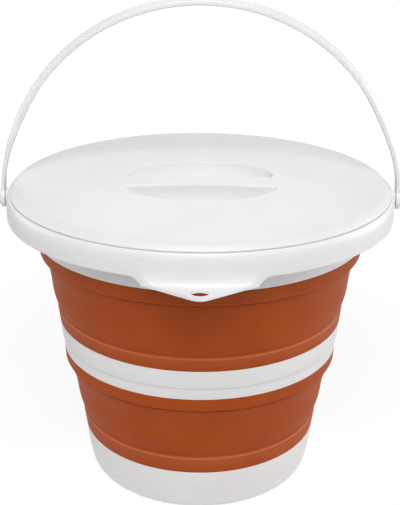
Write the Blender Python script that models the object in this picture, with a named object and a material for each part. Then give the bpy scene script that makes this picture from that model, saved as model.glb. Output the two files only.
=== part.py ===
"""Collapsible camp bucket.

A white base, middle ring and rim are joined by two soft walls, and each ring folds down round the
one below it. A lid sits in the rim, and a strap handle swings on two snap pins.
Metres, +Z up, the hanging tab faces -Y. The rest pose is the open bucket with its lid on.
"""
import math

import bmesh
import bpy
from mathutils import Matrix, Vector

for old in list(bpy.data.objects):
    bpy.data.objects.remove(old, do_unlink=True)

# Shared sizes
SEGMENTS = 72
ROUND_SEGMENTS = 24
POCKET_SEGMENTS = 48
GAP = 0.0003
OVERRUN = 0.004
WELD = 0.000001
PLASTIC_WALL = 0.0024
SOFT_WALL = 0.0024
TONGUE_THICKNESS = 0.0010
TONGUE_LENGTH = 0.0040

# Base
BASE_HEIGHT = 0.0373
BASE_TOP_RADIUS = 0.0993
BASE_TAPER = 0.0052
BASE_SWELL = 0.0010
BASE_FLOOR = 0.0026
FOOT_FILLET = 0.0050
FILLET_STEPS = 4
GROOVE_RADIUS = 0.0690
GROOVE_WIDTH = 0.0060
GROOVE_DEPTH = 0.0010

# Middle ring
RING_BOTTOM_RADIUS = 0.1152
RING_TAPER = 0.0030
RING_HEIGHT = 0.0253
RING_STEP_HEIGHT = 0.0101
RING_STEP = 0.0006

# Soft walls: height, then the bands that grip the hard rings and the folding panel between them
LOWER_WALL_HEIGHT = 0.0749
LOWER_FOOT_BAND = 0.0152
LOWER_FOOT_SWELL = 0.0014
LOWER_TOP_BAND = 0.0102
LOWER_TOP_TAPER = 0.0012
LOWER_LEDGE = 0.0017
UPPER_WALL_HEIGHT = 0.0715
UPPER_FOOT_BAND = 0.0112
UPPER_FOOT_SWELL = 0.0009
UPPER_TOP_BAND = 0.0118
UPPER_TOP_TAPER = 0.0024
UPPER_LEDGE = 0.0036
BAND_EDGE = 0.0011
BAND_STEP = 0.0006
LEDGE_DROP = 0.0032
PANEL_STEPS = 6
PANEL_RIPPLE = 0.0009
PANEL_HOLLOW = 0.0005
BAND_ROUND_SHARE = 0.35

# Rim
RIM_RADIUS = 0.1564
RIM_OVERHANG = 0.0200
COLLAR_HEIGHT = 0.0340
COLLAR_TAPER = 0.0022
MOUTH_EDGE = 0.0010
SEAT_CHAMFER = 0.0036
SEAT_DEPTH = 0.0034
SHOULDER_RUN = 0.0028
SHOULDER_DROP = 0.0075
SHOULDER_STEPS = 4
SKIRT_HEIGHT = 0.0190
SKIRT_EDGE = 0.0005

# Hanging tab on the rim's front
TAB_DROP = 0.0064
TAB_THICKNESS = 0.0024
TAB_HALF_WIDTH = 0.0410
TAB_STEP_HALF_WIDTH = 0.0473
TAB_TIP_RADIUS = 0.0103
TAB_HOLE_RADIUS = 0.0062
TAB_REACH = 0.0106
TAB_FLARE_RUN = 0.0100
TAB_FLARE_RISE = 0.0100
TAB_TIP_STEPS = 12
FLARE_STEPS = 5

# Handle, its pins and their bosses
PIVOT_DROP = 0.0104
BOSS_RADIUS = 0.0065
BOSS_LENGTH = 0.0023
PIN_RADIUS = 0.0032
PIN_HEAD_RADIUS = 0.0066
PIN_HEAD = 0.0016
PIN_BARB_RADIUS = 0.0042
PIN_BARB = 0.0020
BARB_GAP = 0.0005
EYE_RADIUS = 0.0086
EYE_THICKNESS = 0.0034
HANDLE_SPLAY = 0.0043
HANDLE_EDGE = 0.0039
HANDLE_LEG_THICKNESS = 0.0028
HANDLE_CROWN = 0.0025
HANDLE_GRIP_WIDTH = 0.0180
HANDLE_LEG_WIDTH = 0.0110
HANDLE_STEPS = 48
CROWN_STEPS = 4
SPLAY_START = math.radians(5)
SPLAY_END = math.radians(27)

# Lid
LID_WALL = 0.0022
LID_DOME = 0.0066
LID_EDGE_RUN = 0.0058
LID_EDGE_DROP = 0.0057
LID_EDGE_STEPS = 5
DOME_STEPS = 6
LID_LIP = 0.0030
PLUG_DEPTH = 0.0080
POCKET_LENGTH = 0.0630
POCKET_WIDTH = 0.0512
POCKET_OFFSET = 0.0232
POCKET_DEPTH = 0.0180
POCKET_DRAFT = 0.0060
TUB_SINK = 0.0018
BAR_FRONT = 0.0131
BAR_BACK = 0.0090
BAR_HOLLOW_LENGTH = 0.0900
SCALLOP_COUNT = 3
SCALLOP_PITCH = 0.0206
SCALLOP_DEPTH = 0.0022

# Heights, radii and fits that follow from the sizes above
Z_RING = BASE_HEIGHT + LOWER_WALL_HEIGHT
Z_RING_TOP = Z_RING + RING_HEIGHT
Z_RIM = Z_RING_TOP + UPPER_WALL_HEIGHT
Z_SEAT = Z_RIM + COLLAR_HEIGHT
Z_SEAM = Z_SEAT + SEAT_DEPTH
Z_SKIRT = Z_SEAM - SKIRT_HEIGHT
Z_TAB = Z_SKIRT - TAB_DROP
Z_PIVOT = Z_SEAM - PIVOT_DROP
Z_LID_EDGE = Z_SEAM + GAP + LID_EDGE_DROP
Z_LID_TOP = Z_LID_EDGE + LID_DOME
BASE_FOOT_RADIUS = BASE_TOP_RADIUS - BASE_TAPER
BASE_MIDDLE_RADIUS = BASE_TOP_RADIUS - BASE_TAPER / 2 + BASE_SWELL
Z_BASE_MIDDLE = (FOOT_FILLET + BASE_HEIGHT) / 2
RING_TOP_RADIUS = RING_BOTTOM_RADIUS + RING_TAPER
SEAM_RADIUS = RIM_RADIUS - SHOULDER_RUN
SEAT_RADIUS = SEAM_RADIUS - SEAT_CHAMFER
COLLAR_TOP_RADIUS = RIM_RADIUS - RIM_OVERHANG
COLLAR_BOTTOM_RADIUS = COLLAR_TOP_RADIUS - COLLAR_TAPER
LID_DOME_RADIUS = SEAM_RADIUS - LID_EDGE_RUN
COLLAR_INNER_BOTTOM = COLLAR_BOTTOM_RADIUS - PLASTIC_WALL
COLLAR_INNER_TOP = COLLAR_TOP_RADIUS - PLASTIC_WALL
COLLAR_AT_PLUG_RADIUS = COLLAR_INNER_TOP - COLLAR_TAPER * PLUG_DEPTH / COLLAR_HEIGHT
PLUG_RADIUS = COLLAR_AT_PLUG_RADIUS - GAP
X_EYE = RIM_RADIUS + BOSS_LENGTH + GAP
X_EYE_OUT = X_EYE + EYE_THICKNESS
LEG_RADIUS = X_EYE + (EYE_THICKNESS - HANDLE_LEG_THICKNESS) / 2
HOLE_RADIUS = PIN_RADIUS + GAP
TAB_Y = -(RIM_RADIUS + TAB_REACH)


def material(name, colour, roughness, specular):
    """A Principled material in one colour."""
    made = bpy.data.materials.new(name)
    made.use_nodes = True
    shader = made.node_tree.nodes["Principled BSDF"]
    shader.inputs["Base Color"].default_value = (*colour, 1.0)
    shader.inputs["Roughness"].default_value = roughness
    shader.inputs["Metallic"].default_value = 0.0
    shader.inputs["Specular IOR Level"].default_value = specular
    return made


def finish(bm, name, colour, roughness=0.4, specular=0.5, origin=(0.0, 0.0, 0.0), parent=None):
    """Turns a bmesh into a named object whose origin is the given point."""
    bmesh.ops.remove_doubles(bm, verts=bm.verts, dist=WELD)
    bmesh.ops.recalc_face_normals(bm, faces=bm.faces)
    place = Vector(origin)
    bmesh.ops.translate(bm, verts=bm.verts, vec=-place)
    mesh = bpy.data.meshes.new(name)
    bm.to_mesh(mesh)
    bm.free()
    made = bpy.data.objects.new(name, mesh)
    bpy.context.collection.objects.link(made)
    mesh.materials.append(material(name, colour, roughness, specular))
    mesh.shade_smooth()
    mesh.set_sharp_from_angle(angle=math.radians(30))
    made.location = place
    if parent:
        made.parent = parent
        made.location = place - parent.location
    return made


def empty(name, point):
    """An empty that marks a joint's axis."""
    made = bpy.data.objects.new(name, None)
    bpy.context.collection.objects.link(made)
    made.location = point
    return made


def turned(outline, steps=SEGMENTS):
    """Spins an outline of (radius, height) points about Z. One that starts on the axis also ends on it."""
    bm = bmesh.new()
    ring = [bm.verts.new((radius, 0.0, height)) for radius, height in outline]
    edges = [bm.edges.new(pair) for pair in zip(ring, ring[1:])]
    if outline[0][0] > 0.0:
        edges.append(bm.edges.new((ring[-1], ring[0])))
    bmesh.ops.spin(bm, geom=ring + edges, cent=(0, 0, 0), axis=(0, 0, 1), angle=math.tau, steps=steps,
                   use_merge=True)
    bmesh.ops.remove_doubles(bm, verts=bm.verts, dist=WELD)
    return bm


def prism(points, direction, length):
    """Extrudes a closed polygon of 3-D points along a direction."""
    bm = bmesh.new()
    face = bm.faces.new([bm.verts.new(point) for point in points])
    extruded = bmesh.ops.extrude_face_region(bm, geom=[face])
    moved = [item for item in extruded["geom"] if isinstance(item, bmesh.types.BMVert)]
    bmesh.ops.translate(bm, verts=moved, vec=Vector(direction) * length)
    bmesh.ops.recalc_face_normals(bm, faces=bm.faces)
    return bm


def cylinder(radius, length, centre, axis, steps=ROUND_SEGMENTS):
    """A capped cylinder about a point, along an axis."""
    bm = bmesh.new()
    turn = Vector((0, 0, 1)).rotation_difference(Vector(axis)).to_matrix().to_4x4()
    bmesh.ops.create_cone(bm, cap_ends=True, segments=steps, radius1=radius, radius2=radius, depth=length,
                          matrix=Matrix.Translation(centre) @ turn)
    return bm


def box(low, high):
    """A box between two corners."""
    bm = bmesh.new()
    low, high = Vector(low), Vector(high)
    size = Matrix.Diagonal((*(high - low), 1.0))
    bmesh.ops.create_cube(bm, size=1.0, matrix=Matrix.Translation((low + high) / 2) @ size)
    return bm


def cutter(bm, name):
    """A helper solid that only shapes another object."""
    made = finish(bm, name, (0.5, 0.5, 0.5))
    made.hide_render = True
    made.display_type = "WIRE"
    return made


def combine(target, other, operation):
    """Adds an exact Boolean modifier."""
    modifier = target.modifiers.new(other.name, "BOOLEAN")
    modifier.operation = operation
    modifier.solver = "EXACT"
    modifier.object = other


def arc(centre, radii, start, end, steps):
    """Points of an elliptical arc, angles in degrees from the radius axis."""
    turns = [math.radians(start + (end - start) * step / steps) for step in range(steps + 1)]
    return [(centre[0] + radii[0] * math.cos(turn), centre[1] + radii[1] * math.sin(turn)) for turn in turns]


WHITE = (0.80, 0.80, 0.79)
TERRACOTTA = (0.34, 0.078, 0.026)

# Base: a shallow moulded pan with a tongue that the lower wall grips
foot = arc((BASE_FOOT_RADIUS - FOOT_FILLET, FOOT_FILLET), (FOOT_FILLET, FOOT_FILLET), -90, 0, FILLET_STEPS)
inner_fillet = arc((BASE_FOOT_RADIUS - PLASTIC_WALL - FOOT_FILLET, BASE_FLOOR + FOOT_FILLET),
                   (FOOT_FILLET, FOOT_FILLET), 0, -90, FILLET_STEPS)
base_outline = [
    (0.0, 0.0),
    (GROOVE_RADIUS - GROOVE_WIDTH / 2, 0.0),
    (GROOVE_RADIUS - GROOVE_WIDTH / 2 + GROOVE_DEPTH, GROOVE_DEPTH),
    (GROOVE_RADIUS + GROOVE_WIDTH / 2 - GROOVE_DEPTH, GROOVE_DEPTH),
    (GROOVE_RADIUS + GROOVE_WIDTH / 2, 0.0),
    *foot,
    (BASE_MIDDLE_RADIUS, Z_BASE_MIDDLE),
    (BASE_TOP_RADIUS, BASE_HEIGHT),
    (BASE_TOP_RADIUS - SOFT_WALL + TONGUE_THICKNESS, BASE_HEIGHT),
    (BASE_TOP_RADIUS - SOFT_WALL + TONGUE_THICKNESS, BASE_HEIGHT + TONGUE_LENGTH),
    (BASE_TOP_RADIUS - SOFT_WALL, BASE_HEIGHT + TONGUE_LENGTH),
    (BASE_MIDDLE_RADIUS - PLASTIC_WALL, Z_BASE_MIDDLE),
    *inner_fillet,
    (0.0, BASE_FLOOR),
]
base = finish(turned(base_outline), "base", WHITE, 0.35)


def wall_outline(foot_z, foot_radius, top_z, top_radius, foot_band, foot_swell, top_band, top_taper, ledge):
    """A soft wall: a foot band, a folding panel and a top band, with a rebate at each end for a tongue."""
    skin = SOFT_WALL - TONGUE_THICKNESS - GAP
    ridge = (foot_radius + foot_swell, foot_z + foot_band)
    panel_foot = (ridge[0] - BAND_STEP, ridge[1] + BAND_EDGE)
    band_foot = (top_radius - top_taper, top_z - top_band)
    panel_top = (band_foot[0] - ledge, band_foot[1] - LEDGE_DROP)
    panel = []
    for step in range(PANEL_STEPS + 1):
        share = step / PANEL_STEPS
        radius = panel_foot[0] + (panel_top[0] - panel_foot[0]) * share
        radius += PANEL_RIPPLE * math.sin(math.tau * share) - PANEL_HOLLOW * math.sin(math.pi * share)
        panel.append((radius, panel_foot[1] + (panel_top[1] - panel_foot[1]) * share))
    band_round = (top_radius - top_taper * BAND_ROUND_SHARE, (band_foot[1] + top_z) / 2)
    outside = [(foot_radius, foot_z + GAP), ridge, *panel, band_foot, band_round, (top_radius, top_z - GAP)]
    rebate_top = top_z - TONGUE_LENGTH - GAP
    rebate_foot = foot_z + TONGUE_LENGTH + GAP
    inside = [(radius - SOFT_WALL, height) for radius, height in [ridge, *panel, band_foot]]
    return [
        *outside,
        (top_radius - skin, top_z - GAP),
        (top_radius - skin, rebate_top),
        (top_radius - SOFT_WALL, rebate_top),
        *reversed(inside),
        (foot_radius - SOFT_WALL, rebate_foot),
        (foot_radius - skin, rebate_foot),
        (foot_radius - skin, foot_z + GAP),
    ]


lower_wall = finish(
    turned(wall_outline(BASE_HEIGHT, BASE_TOP_RADIUS, Z_RING, RING_BOTTOM_RADIUS, LOWER_FOOT_BAND,
                        LOWER_FOOT_SWELL, LOWER_TOP_BAND, LOWER_TOP_TAPER, LOWER_LEDGE)),
    "lower_wall", TERRACOTTA, 0.5)
upper_wall = finish(
    turned(wall_outline(Z_RING_TOP, RING_TOP_RADIUS, Z_RIM, COLLAR_BOTTOM_RADIUS, UPPER_FOOT_BAND,
                        UPPER_FOOT_SWELL, UPPER_TOP_BAND, UPPER_TOP_TAPER, UPPER_LEDGE)),
    "upper_wall", TERRACOTTA, 0.5)

# Middle ring: stepped outside, with a tongue up and a tongue down
step_z = Z_RING + RING_STEP_HEIGHT
step_radius = RING_BOTTOM_RADIUS + (RING_TOP_RADIUS - RING_BOTTOM_RADIUS) * RING_STEP_HEIGHT / RING_HEIGHT
ring_outline = [
    (RING_BOTTOM_RADIUS, Z_RING),
    (step_radius - RING_STEP, step_z - RING_STEP),
    (step_radius, step_z),
    (RING_TOP_RADIUS, Z_RING_TOP),
    (RING_TOP_RADIUS - SOFT_WALL + TONGUE_THICKNESS, Z_RING_TOP),
    (RING_TOP_RADIUS - SOFT_WALL + TONGUE_THICKNESS, Z_RING_TOP + TONGUE_LENGTH),
    (RING_TOP_RADIUS - SOFT_WALL, Z_RING_TOP + TONGUE_LENGTH),
    (RING_BOTTOM_RADIUS - SOFT_WALL, Z_RING - TONGUE_LENGTH),
    (RING_BOTTOM_RADIUS - SOFT_WALL + TONGUE_THICKNESS, Z_RING - TONGUE_LENGTH),
    (RING_BOTTOM_RADIUS - SOFT_WALL + TONGUE_THICKNESS, Z_RING),
]
middle_ring = finish(turned(ring_outline), "middle_ring", WHITE, 0.35)

# Rim: collar, seat for the lid, rounded shoulder and skirt
shoulder = arc((SEAM_RADIUS, Z_SEAM - SHOULDER_DROP), (SHOULDER_RUN, SHOULDER_DROP), 90, 0, SHOULDER_STEPS)
rim_outline = [
    (COLLAR_BOTTOM_RADIUS, Z_RIM),
    (COLLAR_INNER_BOTTOM + TONGUE_THICKNESS, Z_RIM),
    (COLLAR_INNER_BOTTOM + TONGUE_THICKNESS, Z_RIM - TONGUE_LENGTH),
    (COLLAR_INNER_BOTTOM, Z_RIM - TONGUE_LENGTH),
    (COLLAR_INNER_TOP, Z_SEAT - MOUTH_EDGE),
    (COLLAR_INNER_TOP + MOUTH_EDGE, Z_SEAT),
    (SEAT_RADIUS, Z_SEAT),
    *shoulder,
    (RIM_RADIUS, Z_SKIRT + SKIRT_EDGE),
    (RIM_RADIUS - SKIRT_EDGE, Z_SKIRT),
    (RIM_RADIUS - PLASTIC_WALL, Z_SKIRT),
    (RIM_RADIUS - PLASTIC_WALL, Z_SEAT - PLASTIC_WALL),
    (COLLAR_TOP_RADIUS, Z_SEAT - PLASTIC_WALL),
]
rim = finish(turned(rim_outline), "rim", WHITE, 0.35)

# The skirt reaches lower on both sides of the tab
step_slope = (TAB_STEP_HALF_WIDTH - TAB_HALF_WIDTH) / TAB_DROP
step_top = TAB_DROP + OVERRUN / 2
step_top_half = TAB_HALF_WIDTH + step_slope * step_top
step_band = cutter(turned([
    (RIM_RADIUS - PLASTIC_WALL, Z_TAB),
    (RIM_RADIUS, Z_TAB),
    (RIM_RADIUS, Z_TAB + step_top),
    (RIM_RADIUS - PLASTIC_WALL, Z_TAB + step_top),
]), "skirt_step")
step_shape = cutter(prism([
    (-TAB_HALF_WIDTH, -RIM_RADIUS - OVERRUN, Z_TAB),
    (TAB_HALF_WIDTH, -RIM_RADIUS - OVERRUN, Z_TAB),
    (step_top_half, -RIM_RADIUS - OVERRUN, Z_TAB + step_top),
    (-step_top_half, -RIM_RADIUS - OVERRUN, Z_TAB + step_top),
], (0, 1, 0), RIM_RADIUS), "skirt_step_shape")
combine(step_band, step_shape, "INTERSECT")
combine(rim, step_band, "UNION")

# The tab: a turned flare cut to a rounded triangle
flare_foot = RIM_RADIUS + TAB_FLARE_RUN
flare_curve = arc((flare_foot, Z_TAB + TAB_THICKNESS + TAB_FLARE_RISE), (TAB_FLARE_RUN, TAB_FLARE_RISE),
                  270, 180, FLARE_STEPS)
tab_far = RIM_RADIUS + TAB_REACH + TAB_TIP_RADIUS + OVERRUN
tab = cutter(turned([
    (RIM_RADIUS - PLASTIC_WALL / 2, Z_TAB),
    (tab_far, Z_TAB),
    (tab_far, Z_TAB + TAB_THICKNESS),
    *flare_curve,
    (RIM_RADIUS - PLASTIC_WALL / 2, Z_TAB + TAB_THICKNESS + TAB_FLARE_RISE),
]), "tab")
tab_root = Vector((TAB_HALF_WIDTH, -math.sqrt(RIM_RADIUS ** 2 - TAB_HALF_WIDTH ** 2)))
to_root = tab_root - Vector((0.0, TAB_Y))
tangent = math.atan2(to_root.y, to_root.x) - math.acos(TAB_TIP_RADIUS / to_root.length)
tip = []
for count in range(TAB_TIP_STEPS + 1):
    turn = tangent + (-math.pi - 2 * tangent) * count / TAB_TIP_STEPS
    tip.append((TAB_TIP_RADIUS * math.cos(turn), TAB_Y + TAB_TIP_RADIUS * math.sin(turn)))
tab_plan = [(TAB_HALF_WIDTH, -RIM_RADIUS / 2), (tab_root.x, tab_root.y), *tip,
            (-tab_root.x, tab_root.y), (-TAB_HALF_WIDTH, -RIM_RADIUS / 2)]
tab_shape = cutter(prism([(x, y, Z_TAB - OVERRUN) for x, y in tab_plan], (0, 0, 1),
                         TAB_THICKNESS + TAB_FLARE_RISE + 2 * OVERRUN), "tab_shape")
combine(tab, tab_shape, "INTERSECT")
combine(rim, tab, "UNION")
tab_hole = cylinder(TAB_HOLE_RADIUS, TAB_THICKNESS + 2 * OVERRUN, (0, TAB_Y, Z_TAB + TAB_THICKNESS / 2),
                    (0, 0, 1))
combine(rim, cutter(tab_hole, "tab_hole"), "DIFFERENCE")

# A boss and a pin hole on each side of the rim, and the pin that holds the handle there
pivot = empty("handle_pivot", (0.0, 0.0, Z_PIVOT))
for side, name in ((-1, "left"), (1, "right")):
    boss_length = PLASTIC_WALL / 2 + BOSS_LENGTH
    boss_centre = side * (RIM_RADIUS + BOSS_LENGTH - boss_length / 2)
    boss = cylinder(BOSS_RADIUS, boss_length, (boss_centre, 0, Z_PIVOT), (1, 0, 0))
    combine(rim, cutter(boss, f"boss_{name}"), "UNION")
    hole_length = PLASTIC_WALL + BOSS_LENGTH + 2 * OVERRUN
    hole_centre = side * (RIM_RADIUS + BOSS_LENGTH + OVERRUN - hole_length / 2)
    boss_hole = cylinder(HOLE_RADIUS, hole_length, (hole_centre, 0, Z_PIVOT), (1, 0, 0))
    combine(rim, cutter(boss_hole, f"boss_hole_{name}"), "DIFFERENCE")
    x_barb = RIM_RADIUS - PLASTIC_WALL - BARB_GAP
    x_head = X_EYE_OUT + GAP
    pin_outline = [
        (0.0, x_barb - PIN_BARB),
        (PIN_RADIUS, x_barb - PIN_BARB),
        (PIN_BARB_RADIUS, x_barb - PIN_BARB / 2),
        (PIN_BARB_RADIUS, x_barb),
        (PIN_RADIUS, x_barb),
        (PIN_RADIUS, x_head),
        (PIN_HEAD_RADIUS, x_head),
        (PIN_HEAD_RADIUS, x_head + PIN_HEAD / 2),
        (PIN_HEAD_RADIUS - PIN_HEAD / 2, x_head + PIN_HEAD),
        (0.0, x_head + PIN_HEAD),
    ]
    pin = turned(pin_outline, ROUND_SEGMENTS)
    bmesh.ops.rotate(pin, verts=pin.verts, cent=(0, 0, 0), matrix=Matrix.Rotation(side * math.pi / 2, 3, "Y"))
    bmesh.ops.translate(pin, verts=pin.verts, vec=(0, 0, Z_PIVOT))
    finish(pin, f"handle_pin_{name}", WHITE, 0.35, origin=(side * RIM_RADIUS, 0.0, Z_PIVOT))


def smoothstep(start, end, value):
    """0 before start, 1 after end, eased between."""
    share = min(max((value - start) / (end - start), 0.0), 1.0)
    return share * share * (3 - 2 * share)


def handle_section(turn):
    """The strap's section at an angle from the pivot: flat inside, square edges and a crowned outside."""
    rise = min(turn, math.pi - turn)
    grown = smoothstep(SPLAY_START, SPLAY_END, rise)
    widened = smoothstep(SPLAY_START, math.pi / 2, rise)
    inner = LEG_RADIUS - HANDLE_SPLAY * grown
    edge = inner + HANDLE_LEG_THICKNESS + (HANDLE_EDGE - HANDLE_LEG_THICKNESS) * grown
    half = (HANDLE_LEG_WIDTH + (HANDLE_GRIP_WIDTH - HANDLE_LEG_WIDTH) * widened) / 2
    points = [(half, inner), (-half, inner), (-half, edge)]
    for step in range(1, CROWN_STEPS):
        share = step / CROWN_STEPS
        points.append((-half + 2 * half * share, edge + HANDLE_CROWN * grown * math.sin(math.pi * share)))
    points.append((half, edge))
    return [Vector((-radius * math.cos(turn), y, Z_PIVOT + radius * math.sin(turn))) for y, radius in points]


strap = bmesh.new()
loops = []
for step in range(HANDLE_STEPS + 1):
    corners = [strap.verts.new(point) for point in handle_section(math.pi * step / HANDLE_STEPS)]
    loops.append([strap.edges.new((one, two)) for one, two in zip(corners, corners[1:] + corners[:1])])
for one, two in zip(loops, loops[1:]):
    bmesh.ops.bridge_loops(strap, edges=one + two)
for end in (loops[0], loops[-1]):
    bmesh.ops.contextual_create(strap, geom=end)
handle = finish(strap, "handle", WHITE, 0.35, origin=(0.0, 0.0, Z_PIVOT), parent=pivot)
for side, name in ((-1, "left"), (1, "right")):
    eye_centre = (side * (X_EYE + EYE_THICKNESS / 2), 0, Z_PIVOT)
    eye = cylinder(EYE_RADIUS, EYE_THICKNESS, eye_centre, (1, 0, 0))
    eye_hole = cylinder(HOLE_RADIUS, EYE_THICKNESS + 2 * OVERRUN, eye_centre, (1, 0, 0))
    combine(handle, cutter(eye, f"eye_{name}"), "UNION")
    combine(handle, cutter(eye_hole, f"eye_hole_{name}"), "DIFFERENCE")

# Lid: a domed shell with a plug, and two finger pockets with a grip bar between them


def dome_z(radius):
    """Height of the lid's outer surface inside its rounded edge."""
    return Z_LID_TOP - LID_DOME * (radius / LID_DOME_RADIUS) ** 2


dome = [(LID_DOME_RADIUS * step / DOME_STEPS, dome_z(LID_DOME_RADIUS * step / DOME_STEPS))
        for step in range(DOME_STEPS)]
lid_edge = arc((LID_DOME_RADIUS, Z_SEAM + GAP), (SEAM_RADIUS - LID_DOME_RADIUS, LID_EDGE_DROP),
               90, 0, LID_EDGE_STEPS)
lip_inner = SEAT_RADIUS - LID_LIP
plug_inner = PLUG_RADIUS - LID_WALL
lid_outline = [
    *dome,
    *lid_edge,
    (SEAT_RADIUS, Z_SEAT + GAP),
    (lip_inner, Z_SEAT + GAP),
    (lip_inner, dome_z(lip_inner) - LID_WALL),
    (PLUG_RADIUS, dome_z(PLUG_RADIUS) - LID_WALL),
    (PLUG_RADIUS, Z_SEAT - PLUG_DEPTH),
    (plug_inner, Z_SEAT - PLUG_DEPTH),
    (plug_inner, dome_z(plug_inner) - LID_WALL),
    *[(radius, height - LID_WALL) for radius, height in reversed(dome[:-1])],
]
lid = finish(turned(lid_outline), "lid", WHITE, 0.35, origin=(0.0, 0.0, Z_SEAT))


def pocket_bowl(grow, floor_z, top_z):
    """An elliptical tapered bowl: the finger pocket's space, or the tub round it."""
    bm = bmesh.new()
    draft_share = POCKET_DRAFT / POCKET_LENGTH / POCKET_DEPTH
    floor_share = 1 - draft_share * (Z_LID_TOP - floor_z)
    top_share = 1 + draft_share * (top_z - Z_LID_TOP)
    bmesh.ops.create_cone(bm, cap_ends=True, segments=POCKET_SEGMENTS, radius1=floor_share, radius2=top_share,
                          depth=top_z - floor_z)
    bmesh.ops.scale(bm, verts=bm.verts, vec=(POCKET_LENGTH + grow, POCKET_WIDTH + grow, 1.0))
    bmesh.ops.translate(bm, verts=bm.verts, vec=(0, -POCKET_OFFSET, (top_z + floor_z) / 2))
    return bm


pocket_floor = Z_LID_TOP - POCKET_DEPTH
tub = cutter(pocket_bowl(LID_WALL, pocket_floor - LID_WALL, Z_LID_TOP - TUB_SINK), "pocket_tub")
pockets = cutter(pocket_bowl(0.0, pocket_floor, Z_LID_TOP + OVERRUN), "pocket_space")
bar_front_y = -POCKET_OFFSET - BAR_FRONT
bar_back_y = -POCKET_OFFSET + BAR_BACK
bar = cutter(box((-POCKET_LENGTH - OVERRUN, bar_front_y, pocket_floor - OVERRUN),
                 (POCKET_LENGTH + OVERRUN, bar_back_y, Z_LID_TOP + 2 * OVERRUN)), "grip_bar")
scallop_radius = (SCALLOP_PITCH ** 2 / 4 + SCALLOP_DEPTH ** 2) / (2 * SCALLOP_DEPTH)
for count in range(SCALLOP_COUNT):
    scallop_x = (count - (SCALLOP_COUNT - 1) / 2) * SCALLOP_PITCH
    scallop_y = bar_front_y + SCALLOP_DEPTH - scallop_radius
    scallop = cylinder(scallop_radius, 2 * (POCKET_DEPTH + OVERRUN),
                       (scallop_x, scallop_y, Z_LID_TOP - POCKET_DEPTH / 2), (0, 0, 1), POCKET_SEGMENTS)
    combine(bar, cutter(scallop, f"scallop_{count + 1}"), "DIFFERENCE")
combine(pockets, bar, "DIFFERENCE")
hollow_low = (-BAR_HOLLOW_LENGTH / 2, bar_front_y + SCALLOP_DEPTH + LID_WALL,
              pocket_floor - LID_WALL - OVERRUN)
hollow_high = (BAR_HOLLOW_LENGTH / 2, bar_back_y - LID_WALL, Z_LID_TOP - 2 * LID_WALL)
bar_hollow = cutter(box(hollow_low, hollow_high), "bar_hollow")
combine(lid, tub, "UNION")
combine(lid, pockets, "DIFFERENCE")
combine(lid, bar_hollow, "DIFFERENCE")
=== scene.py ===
# %% [markdown]
# # A collapsible camp bucket
#
# The bucket stands open with its lid on. Hard white rings are joined by two soft terracotta walls
# that fold down, and a strap handle swings over the lid on two snap pins.
#
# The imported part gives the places, the sizes and the moving bodies. Here each of its solids is
# replaced by a finer moulding with rounded edges, and gets the finish of its plastic.

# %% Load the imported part
import math

import bmesh
import bpy
from mathutils import Matrix, Vector
from mathutils.geometry import interpolate_bezier


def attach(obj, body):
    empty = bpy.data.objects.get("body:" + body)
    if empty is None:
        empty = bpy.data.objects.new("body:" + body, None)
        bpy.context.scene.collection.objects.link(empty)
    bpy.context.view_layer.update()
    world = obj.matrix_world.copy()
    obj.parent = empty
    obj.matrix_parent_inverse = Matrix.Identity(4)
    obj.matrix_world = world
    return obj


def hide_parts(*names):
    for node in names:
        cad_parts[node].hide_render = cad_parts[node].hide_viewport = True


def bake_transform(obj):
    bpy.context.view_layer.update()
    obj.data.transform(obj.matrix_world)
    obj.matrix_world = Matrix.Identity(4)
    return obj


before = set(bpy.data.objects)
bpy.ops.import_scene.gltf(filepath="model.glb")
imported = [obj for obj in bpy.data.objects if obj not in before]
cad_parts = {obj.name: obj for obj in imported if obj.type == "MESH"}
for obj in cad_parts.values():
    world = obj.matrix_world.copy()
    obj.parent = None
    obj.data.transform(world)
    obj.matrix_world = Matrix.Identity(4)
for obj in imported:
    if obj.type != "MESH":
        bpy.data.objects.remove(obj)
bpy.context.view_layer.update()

# %% [markdown]
# ## How the mouldings are made
#
# Every ring and wall of the bucket is a moulding turned about one upright axis. So each one starts
# as an outline of corners, given as radius, height and rounding in millimetres. The corners are
# rounded first and the outline is then spun, which rounds every edge of the moulding at once.

# %% Turn a rounded outline
MM = 0.001
WELD = 0.000002
TURN_STEPS = 240
ROUND_STEPS = 4
ORIGIN = (0, 0, 0)
UPRIGHT = (0, 0, 1)


def rounded(bm, parts, size, steps, affect="EDGES"):
    """Rounds edges or corners by a size in millimetres."""
    bmesh.ops.bevel(bm, geom=parts, offset=size * MM, offset_type="OFFSET", segments=steps,
                    profile=0.5, affect=affect, material=-1, clamp_overlap=True)


def turned(outline, steps=TURN_STEPS):
    """Spins an outline of (radius, height, rounding) corners about the upright axis."""
    bm = bmesh.new()
    corners = [bm.verts.new((radius * MM, 0.0, height * MM)) for radius, height, _ in outline]
    for start, end in zip(corners, corners[1:]):
        bm.edges.new((start, end))
    if outline[0][0] > 0:
        bm.edges.new((corners[-1], corners[0]))
    for corner, (_, _, rounding) in zip(corners, outline):
        if rounding:
            rounded(bm, [corner], rounding, ROUND_STEPS, affect="VERTICES")
    bmesh.ops.spin(bm, geom=bm.verts[:] + bm.edges[:], cent=ORIGIN, axis=UPRIGHT, angle=math.tau,
                   steps=steps, use_merge=True, dvec=ORIGIN)
    bmesh.ops.remove_doubles(bm, verts=bm.verts, dist=WELD)
    bmesh.ops.recalc_face_normals(bm, faces=bm.faces)
    return bm


def arc(centre, radii, start, end, steps):
    """Corners of an elliptical arc, in degrees from the radius axis."""
    turns = [math.radians(start + (end - start) * step / steps) for step in range(steps + 1)]
    return [(centre[0] + radii[0] * math.cos(turn), centre[1] + radii[1] * math.sin(turn), 0)
            for turn in turns]


def between(first, second, share):
    """The number at a share of the way from the first to the second."""
    return first + (second - first) * share


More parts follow.
